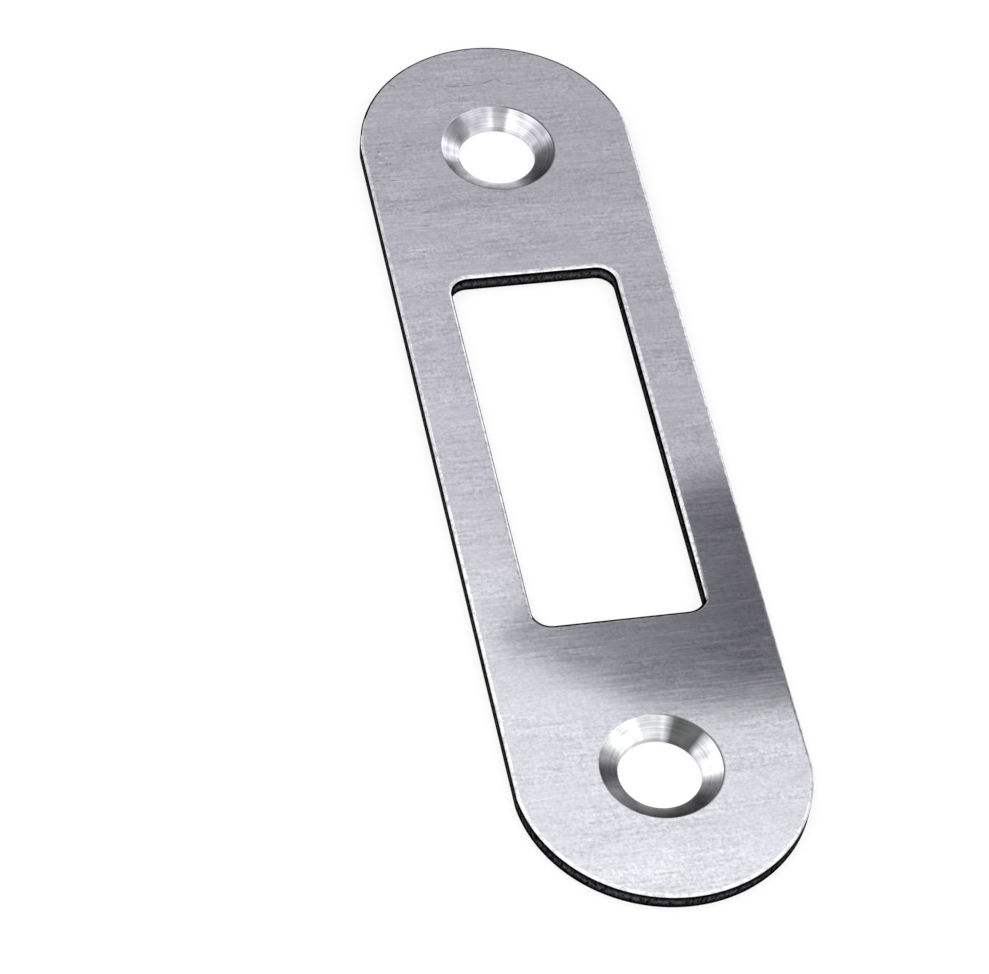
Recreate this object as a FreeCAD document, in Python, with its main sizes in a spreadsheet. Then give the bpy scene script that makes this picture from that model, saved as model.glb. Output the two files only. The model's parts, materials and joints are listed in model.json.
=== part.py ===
import FreeCAD
import Part
import Sketcher
import math
import os

# Flat door strike plate, blanked from one piece of satin stainless sheet.
# X runs across the plate, Y along it, and Z out of its face. The origin is the middle of the back.

SIZES = [
    ("plate_width", 24.0, "across the straight sides"),
    ("plate_length", 92.0, "over the round ends"),
    ("plate_thickness", 1.5, "gauge of the sheet"),
    ("end_excess", 0.05, "end radius beyond half the width, which leaves a faint corner at each side"),
    ("opening_width", 14.4, "room for the bolt, across the plate"),
    ("opening_length", 37.5, "room for the bolt, along the plate"),
    ("opening_corner", 1.6, "corner radius of the opening"),
    ("screw_spacing", 67.2, "from one screw's centre to the other's"),
    ("hole_diameter", 6.8, "straight land behind each countersink"),
    ("sink_diameter", 10.0, "rim of each countersink on the face"),
    ("sink_angle", 118.0, "included angle of each countersink, in degrees"),
    ("face_edge_radius", 0.2, "roll that the blanking punch draws down along the face's edges"),
    ("back_edge_width", 0.08, "deburred edges of the back"),
]
SHEET_NAME = "Sizes"
PARTS_FOLDER = "parts"
PLATE_NAME = "strike_plate"

# Points of a curve in a sketch, and the sketch's own axes, as the constraints number them
START, END, CENTRE = range(1, 4)
X_AXIS, Y_AXIS = range(-1, -3, -1)
SKETCH_ORIGIN = (X_AXIS, START)

# The softened edges take a little off a cut's own volume
VOLUME_ALLOWANCE = 0.05
ON_PLANE = 1e-6


def make_size_sheet(doc):
    """Puts every driving dimension in a cell that carries the dimension's name."""
    sheet = doc.addObject("Spreadsheet::Sheet", SHEET_NAME)
    for row, (name, value, meaning) in enumerate(SIZES, start=1):
        sheet.set(f"A{row}", name)
        sheet.set(f"B{row}", str(value))
        sheet.set(f"C{row}", meaning)
        sheet.setAlias(f"B{row}", name)
    doc.recompute()
    return sheet


def bind(target, path, formula):
    """Ties a property to the size sheet. The formula holds the names of sizes in braces."""
    cells = {name: f"{SHEET_NAME}.{name}" for name, _, _ in SIZES}
    target.setExpression(path, formula.format(**cells))


def origin_plane(body, role):
    """The body's own origin plane with that role."""
    return next(item for item in body.Origin.OriginFeatures if item.Role == role)


def new_sketch(body, name):
    """An empty sketch on the plane of the plate's back."""
    sketch = body.newObject("Sketcher::SketchObject", name)
    sketch.AttachmentSupport = [(origin_plane(body, "XY_Plane"), "")]
    sketch.MapMode = "FlatFace"
    return sketch


def dimension(sketch, name, constraint, formula):
    """Adds a driving dimension to a sketch and ties it to the size sheet."""
    index = sketch.addConstraint(constraint)
    sketch.renameConstraint(index, name)
    bind(sketch, f"Constraints.{name}", formula)


def line(start, end):
    """A straight edge between two points of the sketch."""
    return Part.LineSegment(FreeCAD.Vector(*start, 0), FreeCAD.Vector(*end, 0))


def circle(centre, radius):
    """A full circle in the sketch."""
    return Part.Circle(FreeCAD.Vector(*centre, 0), FreeCAD.Vector(0, 0, 1), radius)


def arc(centre, radius, start_angle, end_angle):
    """An arc in the sketch, anticlockwise, with its angles in degrees."""
    return Part.ArcOfCircle(
        circle(centre, radius), math.radians(start_angle), math.radians(end_angle)
    )


def join_loop(sketch, kind, loop):
    """Joins each curve of a closed loop to the next, as plain corners or tangent."""
    for curve, following in zip(loop, loop[1:] + loop[:1]):
        sketch.addConstraint(Sketcher.Constraint(kind, curve, END, following, START))


def draw_outline(body, size):
    """Two straight sides, and an end arc at each end that meets them in a faint corner."""
    sketch = new_sketch(body, "OutlineSketch")
    half_width = size["plate_width"] / 2
    radius = half_width + size["end_excess"]
    arc_middle = size["plate_length"] / 2 - radius
    corner_angle = math.degrees(math.acos(half_width / radius))
    corner_y = arc_middle + radius * math.sin(math.radians(corner_angle))
    right = sketch.addGeometry(line((half_width, -corner_y), (half_width, corner_y)))
    top = sketch.addGeometry(arc((0, arc_middle), radius, corner_angle, 180 - corner_angle))
    left = sketch.addGeometry(line((-half_width, corner_y), (-half_width, -corner_y)))
    bottom = sketch.addGeometry(arc((0, -arc_middle), radius, 180 + corner_angle, 360 - corner_angle))
    join_loop(sketch, "Coincident", [right, top, left, bottom])
    sketch.addConstraint(Sketcher.Constraint("Vertical", right))
    sketch.addConstraint(Sketcher.Constraint("Vertical", left))
    sketch.addConstraint(Sketcher.Constraint("Symmetric", top, START, top, END, Y_AXIS))
    sketch.addConstraint(Sketcher.Constraint("PointOnObject", top, CENTRE, Y_AXIS))
    sketch.addConstraint(Sketcher.Constraint("Symmetric", top, CENTRE, bottom, CENTRE, *SKETCH_ORIGIN))
    sketch.addConstraint(Sketcher.Constraint("Equal", top, bottom))
    width = Sketcher.Constraint("DistanceX", top, END, top, START, 2 * half_width)
    dimension(sketch, "width", width, "{plate_width}")
    end_radius = Sketcher.Constraint("Radius", top, radius)
    dimension(sketch, "end_radius", end_radius, "{plate_width} / 2 + {end_excess}")
    between = Sketcher.Constraint("DistanceY", bottom, CENTRE, top, CENTRE, 2 * arc_middle)
    dimension(
        sketch, "between_arcs", between, "{plate_length} - {plate_width} - 2 * {end_excess}"
    )
    return sketch


def draw_opening(body, size):
    """The bolt's opening: a rectangle with rounded corners, in the middle of the plate."""
    sketch = new_sketch(body, "OpeningSketch")
    corner = size["opening_corner"]
    side_x = size["opening_width"] / 2
    end_y = size["opening_length"] / 2
    corner_x = side_x - corner
    corner_y = end_y - corner
    right = sketch.addGeometry(line((side_x, -corner_y), (side_x, corner_y)))
    top_right = sketch.addGeometry(arc((corner_x, corner_y), corner, 0, 90))
    top = sketch.addGeometry(line((corner_x, end_y), (-corner_x, end_y)))
    top_left = sketch.addGeometry(arc((-corner_x, corner_y), corner, 90, 180))
    left = sketch.addGeometry(line((-side_x, corner_y), (-side_x, -corner_y)))
    low_left = sketch.addGeometry(arc((-corner_x, -corner_y), corner, 180, 270))
    bottom = sketch.addGeometry(line((-corner_x, -end_y), (corner_x, -end_y)))
    low_right = sketch.addGeometry(arc((corner_x, -corner_y), corner, 270, 360))
    join_loop(
        sketch, "Tangent", [right, top_right, top, top_left, left, low_left, bottom, low_right]
    )
    for side in (right, left):
        sketch.addConstraint(Sketcher.Constraint("Vertical", side))
    for end in (top, bottom):
        sketch.addConstraint(Sketcher.Constraint("Horizontal", end))
    for other in (top_left, low_left, low_right):
        sketch.addConstraint(Sketcher.Constraint("Equal", top_right, other))
    centred = Sketcher.Constraint("Symmetric", top_right, CENTRE, low_left, CENTRE, *SKETCH_ORIGIN)
    sketch.addConstraint(centred)
    dimension(sketch, "corner", Sketcher.Constraint("Radius", top_right, corner), "{opening_corner}")
    across = Sketcher.Constraint("DistanceX", left, START, right, START, 2 * side_x)
    dimension(sketch, "across", across, "{opening_width}")
    along = Sketcher.Constraint("DistanceY", bottom, START, top, START, 2 * end_y)
    dimension(sketch, "along", along, "{opening_length}")
    return sketch


def draw_screw_holes(body, size):
    """One circle for each screw, on the face, in line along the middle of the plate."""
    sketch = new_sketch(body, "ScrewSketch")
    bind(sketch, ".AttachmentOffset.Base.z", "{plate_thickness}")
    radius = size["hole_diameter"] / 2
    screw_y = size["screw_spacing"] / 2
    upper = sketch.addGeometry(circle((0, screw_y), radius))
    lower = sketch.addGeometry(circle((0, -screw_y), radius))
    sketch.addConstraint(Sketcher.Constraint("Symmetric", upper, CENTRE, lower, CENTRE, *SKETCH_ORIGIN))
    sketch.addConstraint(Sketcher.Constraint("PointOnObject", upper, CENTRE, Y_AXIS))
    sketch.addConstraint(Sketcher.Constraint("Equal", upper, lower))
    land = Sketcher.Constraint("Diameter", upper, 2 * radius)
    dimension(sketch, "land", land, "{hole_diameter}")
    between = Sketcher.Constraint("DistanceY", lower, CENTRE, upper, CENTRE, 2 * screw_y)
    dimension(sketch, "between_screws", between, "{screw_spacing}")
    return sketch


def blank_the_plate(doc, body, size):
    """The flat blank: its outline through the gauge of the sheet."""
    outline = draw_outline(body, size)
    blank = body.newObject("PartDesign::Pad", "Blank")
    blank.Profile = outline
    bind(blank, "Length", "{plate_thickness}")
    doc.recompute()
    return blank


def punch_the_opening(doc, body, size):
    """The opening, punched right through."""
    opening = draw_opening(body, size)
    punched = body.newObject("PartDesign::Pocket", "Opening")
    punched.Profile = opening
    punched.Type = "ThroughAll"
    punched.Reversed = True
    doc.recompute()
    return punched


def edges_at(shape, height):
    """Names of the edges that lie wholly at one height."""
    level = [
        abs(edge.BoundBox.ZMin - height) < ON_PLANE and abs(edge.BoundBox.ZMax - height) < ON_PLANE
        for edge in shape.Edges
    ]
    return [f"Edge{number}" for number, is_level in enumerate(level, start=1) if is_level]


def soften_the_edges(doc, body, punched, size):
    """The edges that the punch draws down round the face, then the deburred edges of the back."""
    rolled = body.newObject("PartDesign::Fillet", "FaceRoll")
    rolled.Base = (punched, edges_at(punched.Shape, size["plate_thickness"]))
    bind(rolled, "Radius", "{face_edge_radius}")
    doc.recompute()
    broken = body.newObject("PartDesign::Chamfer", "BackBreak")
    broken.Base = (rolled, edges_at(rolled.Shape, 0))
    bind(broken, "Size", "{back_edge_width}")
    doc.recompute()
    return broken


def sink_the_screw_holes(doc, body, size):
    """Two holes through, countersunk from the face, each with a straight land behind the cone."""
    circles = draw_screw_holes(body, size)
    doc.recompute()
    holes = body.newObject("PartDesign::Hole", "ScrewHoles")
    holes.Profile = circles
    doc.recompute()
    holes.Threaded = False
    holes.DepthType = "ThroughAll"
    holes.HoleCutType = "Countersink"
    bind(holes, "Diameter", "{hole_diameter}")
    bind(holes, "HoleCutDiameter", "{sink_diameter}")
    bind(holes, "HoleCutCountersinkAngle", "{sink_angle}")
    doc.recompute()
    return holes


def opening_volume(size):
    """Metal that the opening takes out."""
    lost_in_corners = (4 - math.pi) * size["opening_corner"] ** 2
    area = size["opening_width"] * size["opening_length"] - lost_in_corners
    return area * size["plate_thickness"]


def screw_hole_volume(size):
    """Metal that one countersunk hole takes out."""
    land = size["hole_diameter"] / 2
    rim = size["sink_diameter"] / 2
    depth = (rim - land) / math.tan(math.radians(size["sink_angle"] / 2))
    cone = math.pi * depth * (rim**2 + rim * land + land**2) / 3
    return cone + math.pi * land**2 * (size["plate_thickness"] - depth)


def check_cut(name, before, after, expected):
    """Stops the build where a cut missed the plate or took out too little."""
    removed = before.Volume - after.Volume
    if removed < expected * (1 - VOLUME_ALLOWANCE):
        raise SystemExit(f"the {name} took out {removed:.2f} mm3 and not {expected:.2f}")


def make_strike_plate(doc, sheet):
    """The plate, in the order in which it is made."""
    size = {name: float(sheet.get(name)) for name, _, _ in SIZES}
    body = doc.addObject("PartDesign::Body", "StrikePlate")
    body.Label = PLATE_NAME
    blank = blank_the_plate(doc, body, size)
    punched = punch_the_opening(doc, body, size)
    check_cut("opening", blank.Shape, punched.Shape, opening_volume(size))
    softened = soften_the_edges(doc, body, punched, size)
    holes = sink_the_screw_holes(doc, body, size)
    check_cut("pair of screw holes", softened.Shape, holes.Shape, 2 * screw_hole_volume(size))
    return body


def check_document(doc, body):
    """Every object has to be sound, and the plate has to be one valid solid."""
    for item in doc.Objects:
        if "Invalid" in item.State or "Error" in item.State:
            raise SystemExit(f"{item.Name} failed: {item.State}")
    shape = body.Shape
    if shape.isNull() or not shape.isValid() or len(shape.Solids) != 1:
        raise SystemExit(f"{body.Label} isn't one valid solid")


def main():
    doc = FreeCAD.newDocument("DoorStrikePlate")
    sheet = make_size_sheet(doc)
    plate = make_strike_plate(doc, sheet)
    check_document(doc, plate)
    os.makedirs(PARTS_FOLDER, exist_ok=True)
    plate.Shape.exportStep(f"{PARTS_FOLDER}/{plate.Label}.step")
    box = plate.Shape.optimalBoundingBox(False, False)
    print(f"{plate.Label}: {box.XLength:.2f} x {box.YLength:.2f} x {box.ZLength:.2f} mm")
    print(f"{plate.Shape.Volume:.1f} mm3 in {len(plate.Shape.Faces)} faces")


main()
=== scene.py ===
import bpy, bmesh, json, math
from mathutils import Matrix, Vector


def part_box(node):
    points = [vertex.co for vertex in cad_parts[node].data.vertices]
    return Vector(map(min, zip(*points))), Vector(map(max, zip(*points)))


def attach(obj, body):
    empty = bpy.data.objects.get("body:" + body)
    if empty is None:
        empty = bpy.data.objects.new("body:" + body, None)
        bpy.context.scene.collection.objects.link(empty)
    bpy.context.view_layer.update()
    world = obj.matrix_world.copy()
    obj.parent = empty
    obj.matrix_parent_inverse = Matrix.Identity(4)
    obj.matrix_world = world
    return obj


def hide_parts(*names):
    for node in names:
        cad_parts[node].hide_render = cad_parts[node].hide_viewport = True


# Flat door strike plate in satin stainless sheet, lying face up on a white table.
# Metres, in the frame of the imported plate: X across it, Y along it, Z out of its face.

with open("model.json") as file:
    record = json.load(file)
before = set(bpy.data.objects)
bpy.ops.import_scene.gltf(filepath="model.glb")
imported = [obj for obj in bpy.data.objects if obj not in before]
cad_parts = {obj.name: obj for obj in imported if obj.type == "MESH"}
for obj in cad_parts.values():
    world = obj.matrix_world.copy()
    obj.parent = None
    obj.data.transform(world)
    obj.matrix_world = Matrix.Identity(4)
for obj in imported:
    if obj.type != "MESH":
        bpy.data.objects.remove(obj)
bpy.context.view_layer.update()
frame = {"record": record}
mm = 0.001
print("frame loaded")


def fromHex(code):
    channels = [int(code[i:i + 2], 16) / 255 for i in (1, 3, 5)]
    linear = [c / 12.92 if c <= 0.04045 else ((c + 0.055) / 1.055) ** 2.4 for c in channels]
    return (*linear, 1.0)


def addNode(tree, kind, inputs=None, **settings):
    node = tree.nodes.new(kind)
    for name, value in settings.items():
        setattr(node, name, value)
    for name, value in (inputs or {}).items():
        if isinstance(value, bpy.types.NodeSocket):
            tree.links.new(value, node.inputs[name])
        else:
            node.inputs[name].default_value = value
    return node


def newMaterial(name):
    material = bpy.data.materials.new(name)
    material.use_nodes = True
    material.node_tree.nodes.clear()
    return material, material.node_tree


# Satin stainless steel, belt-brushed across the strip before it was blanked. The belt's fine lines
# draw reflections out along the plate, so the face shows soft broad tones and no sharp highlight.
satinFace = {
    "lightSteel": "#DCDAE5",
    "darkSteel": "#AAA8B2",
    # the part of a pattern's range over which dark steel turns to light
    "contrast": (0.29, 0.71),
    "roughness": 0.25,
    "roughnessSpread": 0.03,
    "anisotropic": 0.6,
    "linePitch": 0.26,        # mm between belt lines; the real ones are finer and wouldn't show
    "lineLength": 4.0,
    "lineDepth": 0.0018,
    "grain": 0.27,            # where the belt's grit broke the lines up
    "grainShare": 0.56,
    "bandPitch": 4.0,         # broad passes of the belt
    "bandLength": 60.0,
    "bandShare": 0.2,
    "patchPitch": 2.2,        # patches where the belt pressed harder, so its lines are stronger there
    "patchLength": 6.0,
    "patchRange": (0.35, 0.65),
    "patchStrength": (0.7, 1.3),
    # handling marks: middle x and y, length and width in mm, turn in degrees, shade (below 1 is darker)
    "marks": [
        # knocks near the left edge
        (-10.6, 33.5, 1.8, 0.34, -70, 0.86),
        (-10.6, 34.3, 0.3, 0.30, 0, 0.60),
        (-11.4, 34.4, 0.3, 0.26, 0, 0.58),
        (-10.9, 33.7, 0.3, 0.26, 0, 0.60),
        (-10.1, 32.8, 0.3, 0.26, 0, 0.48),
        (-9.8, 32.8, 0.2, 0.34, 0, 0.55),
        (-10.5, 34.0, 0.25, 0.44, 15, 1.40),
        (-10.0, 33.5, 0.4, 0.34, -30, 1.45),
        (-10.6, 33.0, 0.5, 0.28, 10, 1.40),
        (-9.5, 33.4, 0.9, 0.20, 14, 1.25),
        (-11.3, 30.9, 0.8, 0.22, -3, 0.60),
        (-9.9, 30.8, 1.1, 0.20, -4, 0.64),
        (-10.8, 30.4, 0.8, 0.18, -5, 0.72),
        (-7.8, 34.7, 0.9, 0.20, -4, 0.72),
        (-12.0, 24.5, 0.34, 0.34, 0, 0.30),
        # one wavy scratch behind the upper hole
        (-8.0, 42.1, 1.0, 0.20, -40, 0.58),
        (-5.8, 41.9, 1.4, 0.18, -12, 0.66),
        (-2.6, 41.4, 1.6, 0.17, -6, 0.60),
        (-1.1, 41.35, 1.8, 0.17, 2, 0.60),
        (0.55, 41.6, 2.0, 0.17, 18, 0.56),
        (1.7, 41.6, 1.1, 0.17, -42, 0.60),
        (2.6, 41.15, 1.4, 0.17, -15, 0.62),
        (3.7, 40.95, 1.2, 0.15, -6, 0.72),
        # scratches that the belt left deeper, pale and dark
        (10.0, 29.4, 2.3, 0.17, 2, 0.66),
        (4.7, 36.6, 1.0, 0.18, 2, 0.68),
        (-7.4, 22.5, 7.0, 0.18, -1, 1.20),
        (-9.3, 22.5, 2.6, 0.18, -1, 1.22),
        (-9.1, 27.6, 0.9, 0.21, -5, 1.32),
        (-7.4, 26.5, 1.8, 0.19, -2, 1.32),
        (-5.0, 26.2, 0.9, 0.19, -2, 1.32),
        (-8.5, 24.7, 1.3, 0.20, -3, 1.32),
        (-7.4, 26.8, 1.9, 0.17, -4, 0.74),
        (-8.0, 25.2, 1.1, 0.18, -2, 0.68),
        (-8.7, 22.2, 0.6, 0.20, -7, 0.55),
        (-10.0, 14.2, 1.2, 0.16, -3, 0.74),
        (-8.9, -7.5, 1.3, 0.18, 6, 0.70),
        (10.4, 8.0, 1.2, 0.15, -5, 1.25),
        (-10.2, -35.5, 2.6, 0.16, 3, 1.16),
        (-3.4, -41.2, 2.2, 0.16, 5, 1.16),
    ],
    "markCore": 0.4,          # how much of a mark, out from its middle, has its full shade
    "rimShadowReach": 0.17,        # mm outside the countersinks' rims that the painted shadow line reaches
    # painted shadow line outside the rims: its shade, and the side of each rim where it lies
    "rimShadowShade": 0.16,
    "rimShadowSide": (0.97, 0.24, 0),
    "rimShadowStart": (0.8, 3.2),  # mm towards that side, where the painted shadow starts and where it is full
}


def makeSatinFace(look):
    material, tree = newMaterial("satinStainlessFace")
    coords = addNode(tree, "ShaderNodeTexCoord").outputs["Object"]

    def streaks(length, pitch, detail):
        stretched = addNode(tree, "ShaderNodeMapping", {
            "Vector": coords,
            "Scale": (1 / (length * mm), 1 / (pitch * mm), 1 / (pitch * mm)),
        })
        return addNode(tree, "ShaderNodeTexNoise", {
            "Vector": stretched.outputs["Vector"], "Scale": 1.0, "Detail": detail, "Roughness": 0.6,
        }).outputs["Fac"]

    lines = streaks(look["lineLength"], look["linePitch"], 1.0)
    grain = streaks(look["grain"], look["grain"], 1.0)
    bands = streaks(look["bandLength"], look["bandPitch"], 1.0)

    fine = addNode(tree, "ShaderNodeMix", {
        "Factor": look["grainShare"], 2: lines, 3: grain,
    }, data_type="FLOAT").outputs[0]
    mixed = addNode(tree, "ShaderNodeMix", {
        "Factor": look["bandShare"], 2: fine, 3: bands,
    }, data_type="FLOAT")
    patches = addNode(tree, "ShaderNodeMapRange", {
        "Value": streaks(look["patchLength"], look["patchPitch"], 0.0),
        "From Min": look["patchRange"][0], "From Max": look["patchRange"][1],
        "To Min": look["patchStrength"][0], "To Max": look["patchStrength"][1],
    })
    offMiddle = addNode(tree, "ShaderNodeMath", {0: mixed.outputs[0], 1: 0.5}, operation="SUBTRACT")
    varied = addNode(tree, "ShaderNodeMath", {
        0: offMiddle.outputs["Value"], 1: patches.outputs["Result"], 2: 0.5,
    }, operation="MULTIPLY_ADD")
    spread = addNode(tree, "ShaderNodeMapRange", {
        "Value": varied.outputs["Value"], "From Min": look["contrast"][0], "From Max": look["contrast"][1],
    })
    colour = addNode(tree, "ShaderNodeMix", {
        "Factor": spread.outputs["Result"],
        6: fromHex(look["darkSteel"]), 7: fromHex(look["lightSteel"]),
    }, data_type="RGBA").outputs[2]

    for x, y, length, width, turn, shade in look["marks"]:
        placed = addNode(tree, "ShaderNodeMapping", {
            "Vector": coords,
            "Location": (x * mm, y * mm, 0),
            "Rotation": (0, 0, math.radians(turn)),
            "Scale": (length / 2 * mm, width / 2 * mm, 1),
        }, vector_type="TEXTURE")
        reach = addNode(tree, "ShaderNodeVectorMath", {0: placed.outputs["Vector"]}, operation="LENGTH")
        mark = addNode(tree, "ShaderNodeMapRange", {
            "Value": reach.outputs["Value"], "From Min": look["markCore"], "From Max": 1.0,
            "To Min": shade, "To Max": 1.0,
        })
        colour = addNode(tree, "ShaderNodeVectorMath", {
            0: colour, 1: mark.outputs["Result"],
        }, operation="MULTIPLY").outputs["Vector"]

    # painted shadow: a thin dark line just outside each countersink's rim, on the side that the cutter left
    # last, as the shadow of the edge it raised
    for side in (1, -1):
        screwAt = (0, side * plate["screwSpacing"] / 2 * mm, 0)
        outward = addNode(tree, "ShaderNodeVectorMath", {
            0: coords, 1: screwAt,
        }, operation="SUBTRACT").outputs["Vector"]
        flat = addNode(tree, "ShaderNodeVectorMath", {
            0: outward, 1: (1, 1, 0),
        }, operation="MULTIPLY").outputs["Vector"]
        radius = addNode(tree, "ShaderNodeVectorMath", {0: flat}, operation="LENGTH").outputs["Value"]
        turned = addNode(tree, "ShaderNodeVectorMath", {0: flat, 1: look["rimShadowSide"]}, operation="DOT_PRODUCT")
        near = addNode(tree, "ShaderNodeMapRange", {
            "Value": radius,
            "From Min": plate["sinkRadius"] * mm,
            "From Max": (plate["sinkRadius"] + look["rimShadowReach"]) * mm,
            "To Min": 1.0, "To Max": 0.0,
        })
        onSide = addNode(tree, "ShaderNodeMapRange", {
            "Value": turned.outputs["Value"],
            "From Min": look["rimShadowStart"][0] * mm, "From Max": look["rimShadowStart"][1] * mm,
        })
        rimShadow = addNode(tree, "ShaderNodeMath", {
            0: near.outputs["Result"], 1: onSide.outputs["Result"],
        }, operation="MULTIPLY")
        shade = addNode(tree, "ShaderNodeMapRange", {
            "Value": rimShadow.outputs["Value"], "To Min": 1.0, "To Max": look["rimShadowShade"],
        })
        colour = addNode(tree, "ShaderNodeVectorMath", {
            0: colour, 1: shade.outputs["Result"],
        }, operation="MULTIPLY").outputs["Vector"]

    rough = addNode(tree, "ShaderNodeMapRange", {
        "Value": lines, "From Min": 0.3, "From Max": 0.7,
        "To Min": look["roughness"] - look["roughnessSpread"],
        "To Max": look["roughness"] + look["roughnessSpread"],
    })
    relief = addNode(tree, "ShaderNodeBump", {
        "Height": fine, "Strength": 1.0, "Distance": look["lineDepth"] * mm,
    })
    along = addNode(tree, "ShaderNodeTangent", direction_type="UV_MAP", uv_map="brush")
    shader = addNode(tree, "ShaderNodeBsdfPrincipled", {
        "Base Color": colour, "Metallic": 1.0, "Roughness": rough.outputs["Result"],
        "Anisotropic": look["anisotropic"],
        "Anisotropic Rotation": 0.25,    # stretched across the belt lines
        "Normal": relief.outputs["Normal"], "Tangent": along.outputs["Tangent"],
    })
    addNode(tree, "ShaderNodeOutputMaterial", {"Surface": shader.outputs["BSDF"]})
    return material


# Die roll of stainless sheet. The punch draws the face down over its edges and burnishes them, so
# they take the light as thin white lines round the plate and its opening. Their steel is set lighter
# than the face's, partly for the burnishing and partly as painted highlight.
rolledEdge = {
    "steel": "#E2E1E5",
    "dullSteel": "#BAB9BF",
    "contrast": (0.35, 0.55),
    "roughness": 0.22,
    "wavePitch": 0.4,
    "waveDepth": 0.003,
}


def makeRolledEdge(look):
    material, tree = newMaterial("rolledStainlessEdge")
    coords = addNode(tree, "ShaderNodeTexCoord").outputs["Object"]
    placed = addNode(tree, "ShaderNodeMapping", {
        "Vector": coords, "Scale": (1 / (look["wavePitch"] * mm),) * 3,
    })
    waves = addNode(tree, "ShaderNodeTexNoise", {
        "Vector": placed.outputs["Vector"], "Scale": 1.0, "Detail": 2.0, "Roughness": 0.6,
    }).outputs["Fac"]
    relief = addNode(tree, "ShaderNodeBump", {
        "Height": waves, "Strength": 1.0, "Distance": look["waveDepth"] * mm,
    })
    worn = addNode(tree, "ShaderNodeMapRange", {
        "Value": waves, "From Min": look["contrast"][0], "From Max": look["contrast"][1],
    })
    colour = addNode(tree, "ShaderNodeMix", {
        "Factor": worn.outputs["Result"], 6: fromHex(look["dullSteel"]), 7: fromHex(look["steel"]),
    }, data_type="RGBA")
    shader = addNode(tree, "ShaderNodeBsdfPrincipled", {
        "Base Color": colour.outputs[2], "Metallic": 1.0, "Roughness": look["roughness"],
        "Normal": relief.outputs["Normal"],
    })
    addNode(tree, "ShaderNodeOutputMaterial", {"Surface": shader.outputs["BSDF"]})
    return material


# Sheared stainless edge. The punch burnishes the first part of the cut and tears the rest, and the
# torn metal holds oil and scale, so the cut reads almost black with fine marks through the gauge.
# Its near-black colour is partly painted shade, and it is painted darker still at the back and under
# the rolled edge, as shade.
shearedEdge = {
    "darkSteel": "#060608",
    "brightSteel": "#66666C",
    "contrast": (0.38, 0.62),
    "glancing": "#1A1A1C",    # oil and scale, and painted shade, keep its reflection dark where it is seen edge-on
    "roughness": 0.5,
    "markPitch": 0.25,
    "markLength": 0.5,
    "markDepth": 0.01,
    "middleHeight": 0.72,     # mm above the back, where the cut is lightest; it is painted darker towards the back and the rolled edge, as shade
    "middleReach": 0.5,
}


def makeShearedEdge(look):
    material, tree = newMaterial("shearedStainlessEdge")
    coords = addNode(tree, "ShaderNodeTexCoord").outputs["Object"]
    acrossMarks = 1 / (look["markPitch"] * mm)
    stretched = addNode(tree, "ShaderNodeMapping", {
        "Vector": coords,
        "Scale": (acrossMarks, acrossMarks, 1 / (look["markLength"] * mm)),
    })
    marks = addNode(tree, "ShaderNodeTexNoise", {
        "Vector": stretched.outputs["Vector"], "Scale": 1.0, "Detail": 4.0, "Roughness": 0.65,
    }).outputs["Fac"]
    height = addNode(tree, "ShaderNodeSeparateXYZ", {"Vector": coords}).outputs["Z"]
    # painted shade: lightest at middleHeight, darker towards the back and towards the rolled edge
    offMiddle = addNode(tree, "ShaderNodeMath", {
        0: height, 1: look["middleHeight"] * mm,
    }, operation="SUBTRACT")
    distance = addNode(tree, "ShaderNodeMath", {0: offMiddle.outputs["Value"]}, operation="ABSOLUTE")
    tornUnshadedMiddle = addNode(tree, "ShaderNodeMapRange", {
        "Value": distance.outputs["Value"], "From Min": 0.0, "From Max": look["middleReach"] * mm,
        "To Min": 1.0, "To Max": 0.0,
    })
    speckled = addNode(tree, "ShaderNodeMapRange", {
        "Value": marks, "From Min": look["contrast"][0], "From Max": look["contrast"][1],
    })
    bright = addNode(tree, "ShaderNodeMath", {
        0: tornUnshadedMiddle.outputs["Result"], 1: speckled.outputs["Result"],
    }, operation="MULTIPLY")
    colour = addNode(tree, "ShaderNodeMix", {
        "Factor": bright.outputs["Value"], 6: fromHex(look["darkSteel"]), 7: fromHex(look["brightSteel"]),
    }, data_type="RGBA")
    relief = addNode(tree, "ShaderNodeBump", {
        "Height": marks, "Strength": 1.0, "Distance": look["markDepth"] * mm,
    })
    shader = addNode(tree, "ShaderNodeBsdfPrincipled", {
        "Base Color": colour.outputs[2], "Metallic": 1.0, "Roughness": look["roughness"],
        "Specular Tint": fromHex(look["glancing"]), "Normal": relief.outputs["Normal"],
    })
    addNode(tree, "ShaderNodeOutputMaterial", {"Surface": shader.outputs["BSDF"]})
    return material


# Turned stainless countersink. The cutter leaves fine rings that flash white, and darker sectors of painted
# reflection are laid over the cone, so bright and dark sectors meet at the hole.
turnedSink = {
    "lightSteel": "#EFEDF3",
    "darkSteel": "#B0ADB7",
    "contrast": (0.36, 0.60),
    "roughness": 0.22,
    "anisotropic": 0.6,
    "ringPitch": 0.3,
    "ringDrift": 0.12,        # how fast a ring changes round the cone, for each mm
    "ringDepth": 0.004,
    "ringShare": 0.5,
    "streakLength": 1.0,      # mm round the cone, of the streaks that run down it
    "streakDrift": 0.3,       # how fast a streak changes down the cone, for each mm
    # painted reflection: darker sectors of each cone, where it reflects darker things; which hole (1 upper, -1
    # lower), middle and half width in degrees, shade
    "sectors": [
        (1, 328, 44, 0.20),
        (1, 275, 30, 0.70),
        (1, 76, 11, 0.50),
        (1, 142, 22, 0.42),
        (-1, 50, 26, 0.12),
        (-1, 225, 98, 0.36),
        (-1, 318, 30, 0.42),
        (-1, 90, 16, 0.68),
    ],
    "sectorCore": 0.55,       # how much of a sector, out from its middle, has its full shade
    "sectorReach": 8.0,       # mm from the screw's centre, which leaves the other hole alone
}


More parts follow.
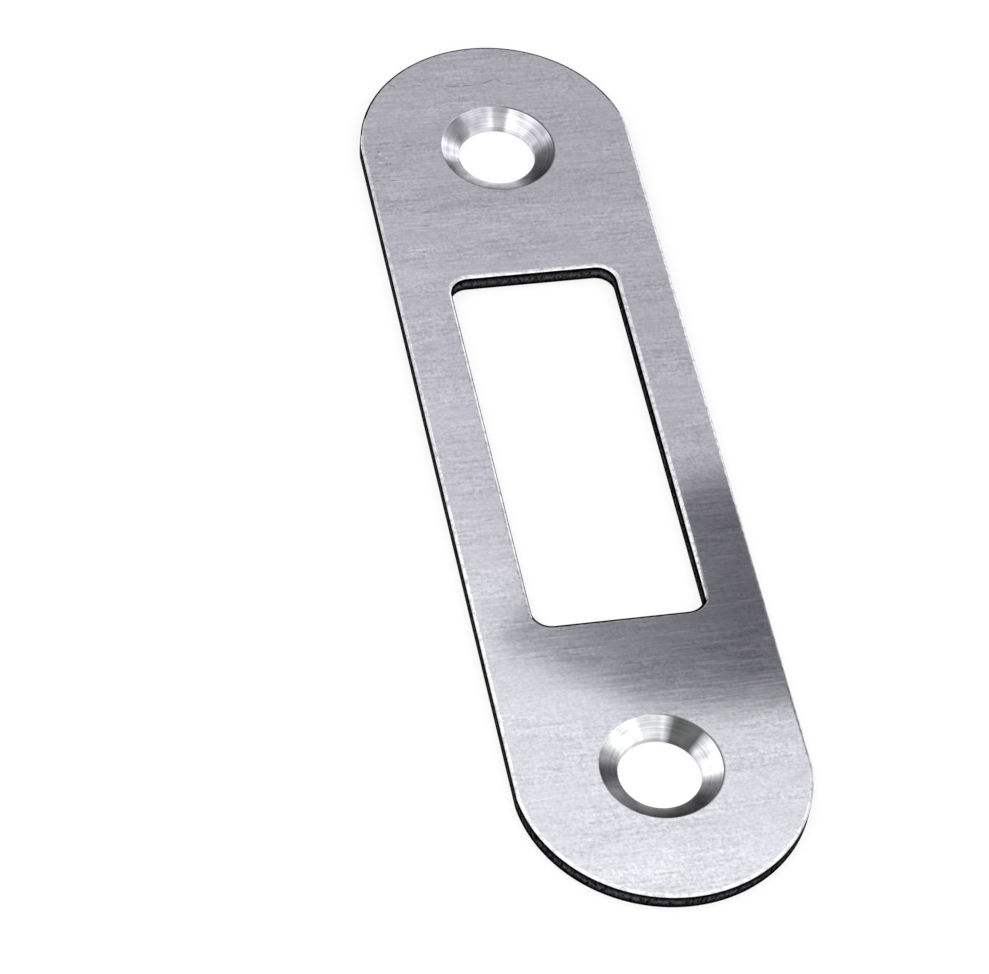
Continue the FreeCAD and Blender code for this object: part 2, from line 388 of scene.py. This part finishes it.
def makeTurnedSink(look):
    material, tree = newMaterial("turnedStainlessSink")
    unrolled = addNode(tree, "ShaderNodeUVMap", uv_map="brush").outputs["UV"]
    stretched = addNode(tree, "ShaderNodeMapping", {
        "Vector": unrolled,
        "Scale": (look["ringDrift"], 1 / look["ringPitch"], 1),
    })
    rings = addNode(tree, "ShaderNodeTexNoise", {
        "Vector": stretched.outputs["Vector"], "Scale": 1.0, "Detail": 3.0, "Roughness": 0.7,
    }).outputs["Fac"]
    around = addNode(tree, "ShaderNodeMapping", {
        "Vector": unrolled,
        "Scale": (1 / look["streakLength"], look["streakDrift"], 1),
    })
    sectors = addNode(tree, "ShaderNodeTexNoise", {
        "Vector": around.outputs["Vector"], "Scale": 1.0, "Detail": 1.0, "Roughness": 0.5,
    }).outputs["Fac"]
    both = addNode(tree, "ShaderNodeMix", {
        "Factor": look["ringShare"], 2: sectors, 3: rings,
    }, data_type="FLOAT")
    spread = addNode(tree, "ShaderNodeMapRange", {
        "Value": both.outputs[0], "From Min": look["contrast"][0], "From Max": look["contrast"][1],
    })
    colour = addNode(tree, "ShaderNodeMix", {
        "Factor": spread.outputs["Result"], 6: fromHex(look["darkSteel"]), 7: fromHex(look["lightSteel"]),
    }, data_type="RGBA").outputs[2]

    coords = addNode(tree, "ShaderNodeTexCoord").outputs["Object"]
    # painted reflection: each sector darkens the cone's colour
    for side, middle, halfWidth, shade in look["sectors"]:
        screwAt = (0, side * plate["screwSpacing"] / 2 * mm, 0)
        outward = addNode(tree, "ShaderNodeVectorMath", {
            0: coords, 1: screwAt,
        }, operation="SUBTRACT").outputs["Vector"]
        flat = addNode(tree, "ShaderNodeVectorMath", {
            0: outward, 1: (1, 1, 0),
        }, operation="MULTIPLY").outputs["Vector"]
        unit = addNode(tree, "ShaderNodeVectorMath", {0: flat}, operation="NORMALIZE").outputs["Vector"]
        facing = (math.cos(math.radians(middle)), math.sin(math.radians(middle)), 0)
        nearness = addNode(tree, "ShaderNodeVectorMath", {0: unit, 1: facing}, operation="DOT_PRODUCT")
        paintedDarkSector = addNode(tree, "ShaderNodeMapRange", {
            "Value": nearness.outputs["Value"],
            "From Min": math.cos(math.radians(halfWidth)),
            "From Max": math.cos(math.radians(halfWidth * look["sectorCore"])),
        })
        radius = addNode(tree, "ShaderNodeVectorMath", {0: flat}, operation="LENGTH").outputs["Value"]
        thisHole = addNode(tree, "ShaderNodeMath", {
            0: radius, 1: look["sectorReach"] * mm,
        }, operation="LESS_THAN")
        share = addNode(tree, "ShaderNodeMath", {
            0: paintedDarkSector.outputs["Result"], 1: thisHole.outputs["Value"],
        }, operation="MULTIPLY")
        shading = addNode(tree, "ShaderNodeMapRange", {
            "Value": share.outputs["Value"], "To Min": 1.0, "To Max": shade,
        })
        colour = addNode(tree, "ShaderNodeVectorMath", {
            0: colour, 1: shading.outputs["Result"],
        }, operation="MULTIPLY").outputs["Vector"]
    relief = addNode(tree, "ShaderNodeBump", {
        "Height": rings, "Strength": 1.0, "Distance": look["ringDepth"] * mm,
    })
    tangent = addNode(tree, "ShaderNodeTangent", direction_type="UV_MAP", uv_map="brush")
    shader = addNode(tree, "ShaderNodeBsdfPrincipled", {
        "Base Color": colour, "Metallic": 1.0, "Roughness": look["roughness"],
        "Anisotropic": look["anisotropic"],
        "Anisotropic Rotation": 0.25,    # stretched across the rings
        "Normal": relief.outputs["Normal"], "Tangent": tangent.outputs["Tangent"],
    })
    addNode(tree, "ShaderNodeOutputMaterial", {"Surface": shader.outputs["BSDF"]})
    return material


# The plate, in millimetres and degrees where the frame doesn't already say
screws = next(m for m in frame["record"]["mounts"] if m["name"] == "screws")
plate = {
    "endExcess": 0.05,
    "openingWidth": 14.4,
    "openingLength": 37.5,
    "openingCorner": 1.6,
    "screwSpacing": screws["dims"]["spacing_y_mm"],
    "landRadius": screws["dims"]["hole_r_mm"],
    "sinkRadius": 5.0,
    "sinkAngle": 118.0,
    "faceRoll": 0.28,
    "openingRoll": 0.42,
    "rollFlatness": 0.65,     # how deep a roll is for its width
    "rimBreak": 0.04,
    "backBreak": 0.08,
    "edgeStrip": 0.5,         # even strip along every edge of the flat faces, which the softening runs into
    "arcSteps": 120,
    "sideCuts": 60,
    "cornerSteps": 12,
    "holeSteps": 144,
    "rollSteps": 5,
    "breakSteps": 2,
    "weldDistance": 0.0005,
    "foldAngle": 0.4,         # radians; an edge that folds more is softened
    "sharpAngle": 32,         # degrees; an edge that still folds more is shaded sharp
    "rimMargin": 0.5,         # how far outside the rims and the opening an edge still counts as theirs
    "openingMargin": 0.1,
    "openingEnd": 20,         # past the opening's ends, and short of the countersinks
    "coneShift": 50,          # keeps the patterns of the two cones apart
}

# How level a face on an edge is, as the Z of its normal, where one finish gives way to the next
tilts = {
    "tornInOpening": 0.70,    # from sheared wall to rolled edge
    "tornOutside": 0.60,
    "darkFinishFacingFar": 0.975,   # the same on faces whose normal's Y is above the next number, where the dark finish is painted shade over most of the roll
    "facingFar": 0.12,
    "rollEnds": 0.995,
    "backStarts": -0.95,
    "coneEnds": -0.5,
    "flat": 0.999,            # more level faces are shaded flat
}

# The plate's finishes, in the order of its material slots
satinFinish, shearedFinish, turnedFinish, rolledFinish = range(4)


def drawBlank(bm, size, halfWidth, halfLength):
    radius = halfWidth + size["endExcess"] * mm
    middle = halfLength - radius
    corner = math.acos(halfWidth / radius)
    first = bm.verts.new((halfWidth, middle + radius * math.sin(corner), 0))
    swept = bmesh.ops.spin(
        bm, geom=[first], cent=(0, middle, 0), axis=(0, 0, 1),
        angle=math.pi - 2 * corner, steps=size["arcSteps"],
    )
    last = next(v for v in swept["geom_last"] if isinstance(v, bmesh.types.BMVert))
    top = bm.verts[:]
    mirrored = bmesh.ops.mirror(bm, geom=bm.verts[:] + bm.edges[:], axis="Y", merge_dist=0)["geom"]
    below = [v for v in mirrored if isinstance(v, bmesh.types.BMVert) and v not in top]
    sides = []
    for end in (first, last):
        facing = min(below, key=lambda v: (v.co.x - end.co.x) ** 2 + (v.co.y + end.co.y) ** 2)
        sides.append(bm.edges.new((end, facing)))
    bmesh.ops.subdivide_edges(bm, edges=sides, cuts=size["sideCuts"])


def drawOpening(bm, size):
    box = Matrix.Diagonal((size["openingWidth"] * mm, size["openingLength"] * mm, 1, 1))
    corners = bmesh.ops.create_grid(bm, x_segments=1, y_segments=1, size=0.5, matrix=box)["verts"]
    bmesh.ops.bevel(
        bm, geom=corners, offset=size["openingCorner"] * mm, segments=size["cornerSteps"],
        profile=0.5, affect="VERTICES", material=-1,
    )
    face = next(f for f in bm.faces)
    sides = [e for e in face.edges if e.calc_length() > 2 * size["openingCorner"] * mm]
    bmesh.ops.delete(bm, geom=[face], context="FACES_ONLY")
    bmesh.ops.subdivide_edges(bm, edges=sides, cuts=size["sideCuts"] // 2)


def fillAndRaise(bm, thickness, strip):
    bmesh.ops.triangle_fill(bm, use_beauty=True, edges=bm.edges[:])
    bmesh.ops.recalc_face_normals(bm, faces=bm.faces[:])
    bmesh.ops.inset_region(
        bm, faces=bm.faces[:], thickness=strip, use_boundary=True, use_even_offset=True,
    )
    raised = bmesh.ops.extrude_face_region(bm, geom=bm.faces[:])["geom"]
    top = [v for v in raised if isinstance(v, bmesh.types.BMVert)]
    bmesh.ops.translate(bm, verts=top, vec=(0, 0, thickness))


def sinkHoles(bm, size, thickness):
    rim = size["sinkRadius"] * mm
    land = size["landRadius"] * mm
    landHeight = thickness - (rim - land) / math.tan(math.radians(size["sinkAngle"] / 2))
    bmesh.ops.bisect_plane(
        bm, geom=bm.verts[:] + bm.edges[:] + bm.faces[:], plane_co=(0, 0, landHeight), plane_no=(0, 0, 1),
    )
    for side in (1, -1):
        centre = Vector((0, side * size["screwSpacing"] / 2 * mm, 0))
        # a little over, so that points on the cut and on the rim count
        behind = [
            v for v in bm.verts
            if v.co.z < landHeight + 0.01 * mm and (v.co.xy - centre.xy).length < rim * 1.001
        ]
        bmesh.ops.scale(bm, verts=behind, vec=(land / rim, land / rim, 1), space=Matrix.Translation(-centre))


def whichEdge(edge, size):
    centre = (edge.verts[0].co + edge.verts[1].co) / 2
    fromScrew = math.hypot(centre.x, abs(centre.y) - size["screwSpacing"] / 2 * mm)
    if fromScrew < (size["sinkRadius"] + size["rimMargin"]) * mm:
        return "rim"
    inWidth = abs(centre.x) < (size["openingWidth"] / 2 + size["openingMargin"]) * mm
    inLength = abs(centre.y) < (size["openingLength"] / 2 + size["openingMargin"]) * mm
    return "opening" if inWidth and inLength else "outline"


def softenEdges(bm, size, places, height, width, steps):
    sharp = [
        e for e in bm.edges
        if all(abs(v.co.z - height) < 0.001 * mm for v in e.verts)
        and len(e.link_faces) == 2 and e.calc_face_angle() > size["foldAngle"]
        and whichEdge(e, size) in places
    ]
    rolled = bmesh.ops.bevel(
        bm, geom=sharp, offset=width, offset_type="OFFSET", segments=steps,
        profile=0.5, affect="EDGES", clamp_overlap=False, material=-1,
    )
    if height > 0 and "rim" not in places:
        flatter = Matrix.Translation((0, 0, -height))
        bmesh.ops.scale(bm, verts=rolled["verts"], vec=(1, 1, size["rollFlatness"]), space=flatter)


def unroll(bm, size):
    # across the plate and along it in mm, but round and out from the screw on the cones
    layer = bm.loops.layers.uv.new("brush")
    for face in bm.faces:
        middle = face.calc_center_median()
        side = 1 if middle.y > 0 else -1
        screwY = side * size["screwSpacing"] / 2 * mm
        isCone = face.material_index == turnedFinish
        facing = math.atan2(middle.y - screwY, middle.x)
        for loop in face.loops:
            x, y = loop.vert.co.x, loop.vert.co.y
            if isCone:
                turn = math.atan2(y - screwY, x) - facing
                turn = (turn + math.pi) % (2 * math.pi) - math.pi
                around = (facing + turn) * size["landRadius"] + size["coneShift"] * side
                outward = (math.hypot(x, y - screwY) + loop.vert.co.z) / mm
                loop[layer].uv = (around, outward)
            else:
                loop[layer].uv = (x / mm, y / mm)


def makeStrikePlate(size):
    low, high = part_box("strike_plate")
    thickness = high.z - low.z
    bm = bmesh.new()
    drawOpening(bm, size)
    outline = bmesh.new()
    drawBlank(outline, size, (high.x - low.x) / 2, (high.y - low.y) / 2)
    outlineMesh = bpy.data.meshes.new("blankOutline")
    outline.to_mesh(outlineMesh)
    outline.free()
    bm.from_mesh(outlineMesh)
    for side in (1, -1):
        place = Matrix.Translation((0, side * size["screwSpacing"] / 2 * mm, 0))
        bmesh.ops.create_circle(
            bm, segments=size["holeSteps"], radius=size["sinkRadius"] * mm, matrix=place,
        )
    fillAndRaise(bm, thickness, size["edgeStrip"] * mm)
    sinkHoles(bm, size, thickness)
    softenEdges(bm, size, ("outline",), thickness, size["faceRoll"] * mm, size["rollSteps"])
    softenEdges(bm, size, ("opening",), thickness, size["openingRoll"] * mm, size["rollSteps"])
    softenEdges(bm, size, ("rim",), thickness, size["rimBreak"] * mm, size["breakSteps"])
    softenEdges(bm, size, ("outline", "opening"), 0, size["backBreak"] * mm, size["breakSteps"])
    bmesh.ops.remove_doubles(bm, verts=bm.verts[:], dist=size["weldDistance"] * mm)
    bmesh.ops.recalc_face_normals(bm, faces=bm.faces[:])
    print("open edges:", sum(1 for e in bm.edges if not e.is_manifold), "faces:", len(bm.faces))

    for face in bm.faces:
        tilt = face.normal.z
        middle = face.calc_center_median()
        fromScrew = math.hypot(middle.x, abs(middle.y) - size["screwSpacing"] / 2 * mm)
        inWidth = abs(middle.x) < size["openingWidth"] / 2 * mm + size["openingRoll"] * mm
        inOpening = inWidth and abs(middle.y) < size["openingEnd"] * mm
        # the dark finish reaches nearly up to the face at the far end and at the opening's near side, as
        # painted shade over most of the roll there
        darkFinishFrom = tilts["tornInOpening"] if inOpening else tilts["tornOutside"]
        if face.normal.y > tilts["facingFar"]:
            darkFinishFrom = tilts["darkFinishFacingFar"]
        face.smooth = abs(tilt) < tilts["flat"]
        if fromScrew < (size["sinkRadius"] - size["rimBreak"]) * mm and tilt > tilts["coneEnds"]:
            face.material_index = turnedFinish
        elif fromScrew < (size["sinkRadius"] + size["rimBreak"]) * mm:
            face.material_index = satinFinish
        elif darkFinishFrom < tilt < tilts["rollEnds"]:
            face.material_index = rolledFinish
        elif tilts["backStarts"] < tilt <= darkFinishFrom:
            face.material_index = shearedFinish
    unroll(bm, size)
    mesh = bpy.data.meshes.new("satinStrikePlate")
    bm.to_mesh(mesh)
    bm.free()
    for edge, sharp in zip(mesh.edges, sharpEdges(mesh, size["sharpAngle"])):
        edge.use_edge_sharp = sharp
    piece = bpy.data.objects.new("satinStrikePlate", mesh)
    bpy.context.collection.objects.link(piece)
    mesh.materials.append(makeSatinFace(satinFace))
    mesh.materials.append(makeShearedEdge(shearedEdge))
    mesh.materials.append(makeTurnedSink(turnedSink))
    mesh.materials.append(makeRolledEdge(rolledEdge))
    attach(piece, "root")
    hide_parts("strike_plate")
    print("strike plate made")


def sharpEdges(mesh, angle):
    copy = bmesh.new()
    copy.from_mesh(mesh)
    sharp = [len(e.link_faces) == 2 and e.calc_face_angle() > math.radians(angle) for e in copy.edges]
    copy.free()
    return sharp


makeStrikePlate(plate)

# White table, in metres, wide enough that its edge never shows
table = {
    "halfWidth": 3.0,
    "gap": 0.00005,           # below the plate's back, so that the two don't share a plane
    "colour": "#FCFCFC",
    "ownWhite": 0.75,         # share of the table that shows as plain white, which softens the shadow
}


def makeTable(look):
    bm = bmesh.new()
    below = Matrix.Translation((0, 0, -look["gap"]))
    bmesh.ops.create_grid(bm, x_segments=1, y_segments=1, size=look["halfWidth"], matrix=below)
    mesh = bpy.data.meshes.new("whiteTable")
    bm.to_mesh(mesh)
    bm.free()
    material, tree = newMaterial("mattWhiteTable")
    ray = addNode(tree, "ShaderNodeLightPath").outputs
    mirrored = addNode(tree, "ShaderNodeMath", {
        0: ray["Is Glossy Ray"], 1: ray["Is Transmission Ray"],
    }, operation="MAXIMUM")
    seen = addNode(tree, "ShaderNodeMath", {
        0: ray["Is Camera Ray"], 1: mirrored.outputs["Value"],
    }, operation="MAXIMUM")
    share = addNode(tree, "ShaderNodeMath", {
        0: seen.outputs["Value"], 1: look["ownWhite"],
    }, operation="MULTIPLY")
    painted = addNode(tree, "ShaderNodeBsdfDiffuse", {"Color": fromHex(look["colour"])})
    plain = addNode(tree, "ShaderNodeEmission", {"Color": fromHex("#FFFFFF"), "Strength": 1.0})
    shader = addNode(tree, "ShaderNodeMixShader", {
        0: share.outputs["Value"], 1: painted.outputs["BSDF"], 2: plain.outputs["Emission"],
    })
    addNode(tree, "ShaderNodeOutputMaterial", {"Surface": shader.outputs["Shader"]})
    mesh.materials.append(material)
    floor = bpy.data.objects.new("whiteTable", mesh)
    bpy.context.collection.objects.link(floor)


makeTable(table)
print("table made")

# Soft studio light. The room is pale, and falls off to dark low down behind the plate's far end.
# Places and sizes are in metres. A panel's glow is how bright it looks, where 1 is white.
studio = {
    "paleWall": "#FBFBFC",
    "darkWall": "#2A2A2D",
    "darkSide": (0.300, 0.954, 0.0),
    "wallFade": (0.60, 0.95),     # cosines from the dark side at which the walls start and end going dark
    # hung level, and turned about the upright; the softbox's cloth is a little green, which takes the
    # lilac out of the near end
    "panels": [
        {"name": "softbox", "colour": "#F5FFEC", "glow": 0.57,
         "place": (-0.060, -0.090, 0.060), "turn": -25.6, "width": 0.30, "height": 0.26},
        {"name": "sideCard", "colour": "#FFFFFF", "glow": 0.22,
         "place": (-0.014, 0.045, 0.060), "turn": 0, "width": 0.042, "height": 0.042},
    ],
    # turned to face what they aim at
    "windows": [
        {"name": "windowPanel", "colour": "#FFFFFF", "glow": 1.0,
         "place": (0.125, 0.122, 0.062), "aim": (0, 0, 0), "width": 0.075, "height": 0.095},
    ],
    # dark flag close over the plate, which only the metal shows, as the dark patch beside the opening
    "flagHeight": 0.012,
    "flagColours": ("#C6C6CA", "#7A797E"),
    "flagFade": (-0.004, 0.013),    # x at which the first colour ends and the second starts
    "flagOutline": [
        (-0.0090, -0.0125), (-0.0030, -0.0085), (0.0075, -0.0063), (0.0105, 0.0018),
        (0.0178, 0.0028), (0.0344, 0.0044), (0.0344, -0.0247), (0.0157, -0.0222),
        (0.0074, -0.0220), (0.0022, -0.0208), (-0.0052, -0.0155),
    ],
}


def hangPanel(panel, place):
    lamp = bpy.data.lights.new(panel["name"], "AREA")
    lamp.shape = "RECTANGLE"
    lamp.size = panel["width"]
    lamp.size_y = panel["height"]
    lamp.energy = panel["glow"] * math.pi * panel["width"] * panel["height"]
    lamp.color = fromHex(panel["colour"])[:3]
    lampObject = bpy.data.objects.new(panel["name"], lamp)
    lampObject.matrix_world = place
    lampObject.visible_camera = False
    bpy.context.collection.objects.link(lampObject)


def lightStudio(look):
    world = bpy.data.worlds.new("paleRoom")
    world.use_nodes = True
    tree = world.node_tree
    tree.nodes.clear()
    direction = addNode(tree, "ShaderNodeTexCoord").outputs["Generated"]
    facing = addNode(tree, "ShaderNodeVectorMath", {
        0: direction, 1: look["darkSide"],
    }, operation="DOT_PRODUCT")
    fade = addNode(tree, "ShaderNodeMapRange", {
        "Value": facing.outputs["Value"], "From Min": look["wallFade"][0], "From Max": look["wallFade"][1],
    })
    walls = addNode(tree, "ShaderNodeMix", {
        "Factor": fade.outputs["Result"], 6: fromHex(look["paleWall"]), 7: fromHex(look["darkWall"]),
    }, data_type="RGBA")
    room = addNode(tree, "ShaderNodeBackground", {"Color": walls.outputs[2], "Strength": 1.0})
    addNode(tree, "ShaderNodeOutputWorld", {"Surface": room.outputs["Background"]})
    bpy.context.scene.world = world

    for panel in look["panels"]:
        turned = Matrix.Rotation(math.radians(panel["turn"]), 4, "Z")
        hangPanel(panel, Matrix.Translation(panel["place"]) @ turned)
    for panel in look["windows"]:
        towards = Vector(panel["aim"]) - Vector(panel["place"])
        turned = towards.to_track_quat("-Z", "Y").to_matrix().to_4x4()
        hangPanel(panel, Matrix.Translation(panel["place"]) @ turned)

    bm = bmesh.new()
    corners = [bm.verts.new((x, y, look["flagHeight"])) for x, y in look["flagOutline"]]
    bmesh.ops.contextual_create(bm, geom=corners)
    mesh = bpy.data.meshes.new("darkFlag")
    bm.to_mesh(mesh)
    bm.free()
    material, tree = newMaterial("mattDarkFlag")
    coords = addNode(tree, "ShaderNodeTexCoord").outputs["Object"]
    across = addNode(tree, "ShaderNodeSeparateXYZ", {"Vector": coords}).outputs["X"]
    fade = addNode(tree, "ShaderNodeMapRange", {
        "Value": across, "From Min": look["flagFade"][0], "From Max": look["flagFade"][1],
    })
    grey = addNode(tree, "ShaderNodeMix", {
        "Factor": fade.outputs["Result"],
        6: fromHex(look["flagColours"][0]), 7: fromHex(look["flagColours"][1]),
    }, data_type="RGBA")
    shader = addNode(tree, "ShaderNodeBsdfDiffuse", {"Color": grey.outputs[2]})
    addNode(tree, "ShaderNodeOutputMaterial", {"Surface": shader.outputs["BSDF"]})
    mesh.materials.append(material)
    flagObject = bpy.data.objects.new("darkFlag", mesh)
    flagObject.visible_camera = False
    flagObject.visible_diffuse = False
    flagObject.visible_shadow = False
    bpy.context.collection.objects.link(flagObject)


lightStudio(studio)
print("studio lit")

# The photograph's camera: where it stands, as degrees round the plate and above it, and what it aims at
camera = {
    "azimuth": -17.035,
    "elevation": 50.765,
    "roll": 7.630,
    "distance": 369.07 * mm,
    "aim": (-7.340 * mm, -2.958 * mm, 0),
    "focalPixels": 4439.6,
    "imageWidth": 989,
    "sensorWidth": 36.0,
    "clip": (0.01, 20.0),
}


def placeCamera(look):
    azimuth, elevation, roll = (math.radians(look[name]) for name in ("azimuth", "elevation", "roll"))
    back = Vector((
        math.sin(azimuth) * math.cos(elevation),
        -math.cos(azimuth) * math.cos(elevation),
        math.sin(elevation),
    ))
    turned = (-back).to_track_quat("-Z", "Y").to_matrix().to_4x4() @ Matrix.Rotation(roll, 4, "Z")
    data = bpy.data.cameras.new("photoCamera")
    data.sensor_width = look["sensorWidth"]
    data.lens = look["focalPixels"] / look["imageWidth"] * look["sensorWidth"]
    data.clip_start, data.clip_end = look["clip"]
    photoCamera = bpy.data.objects.new("photoCamera", data)
    photoCamera.matrix_world = Matrix.Translation(Vector(look["aim"]) + back * look["distance"]) @ turned
    bpy.context.collection.objects.link(photoCamera)
    bpy.context.scene.camera = photoCamera


placeCamera(camera)
print("camera placed")
bpy.context.scene.view_settings.view_transform = "Standard"
